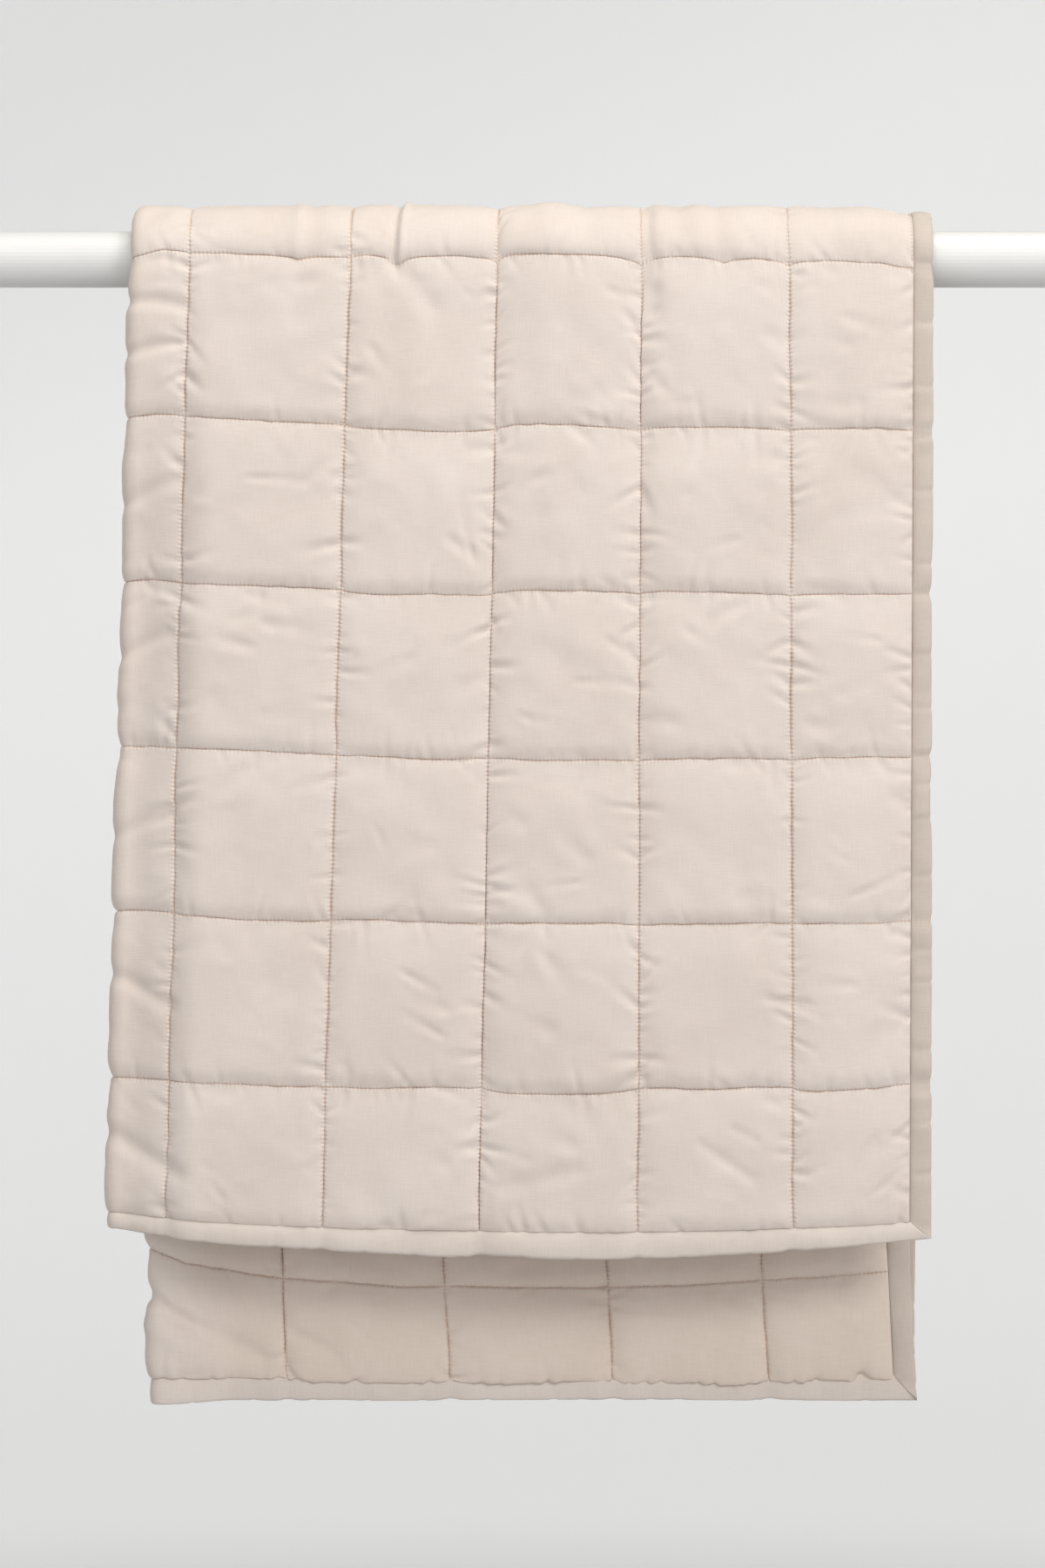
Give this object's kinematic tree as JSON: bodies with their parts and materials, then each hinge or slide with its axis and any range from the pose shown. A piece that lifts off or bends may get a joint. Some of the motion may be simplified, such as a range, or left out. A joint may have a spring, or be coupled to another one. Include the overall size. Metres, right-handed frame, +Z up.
{
  "type": "quilted throw blanket over a rail",
  "caption": "Square-quilted throw blanket with a mitred binding, folded in half lengthwise and draped over a plain round rail.",
  "frame": {"origin": "centre of the rail's left end face", "axes": "+X along the rail towards its right end, -Y towards the side where the shorter fall hangs, +Z up"},
  "size_m": [1, 0.0935, 0.944],
  "materials": {
    "throw": "washed plain-weave linen, matt",
    "binding": "washed plain-weave linen, matt",
    "rail": "satin white paint"
  },
  "bodies": {
    "root": {"quilt": "throw", "binding_outer_side": "binding", "binding_inner_side": "binding", "binding_front_hem": "binding", "binding_back_hem": "binding", "rail": "rail"}
  },
  "joints": []
}
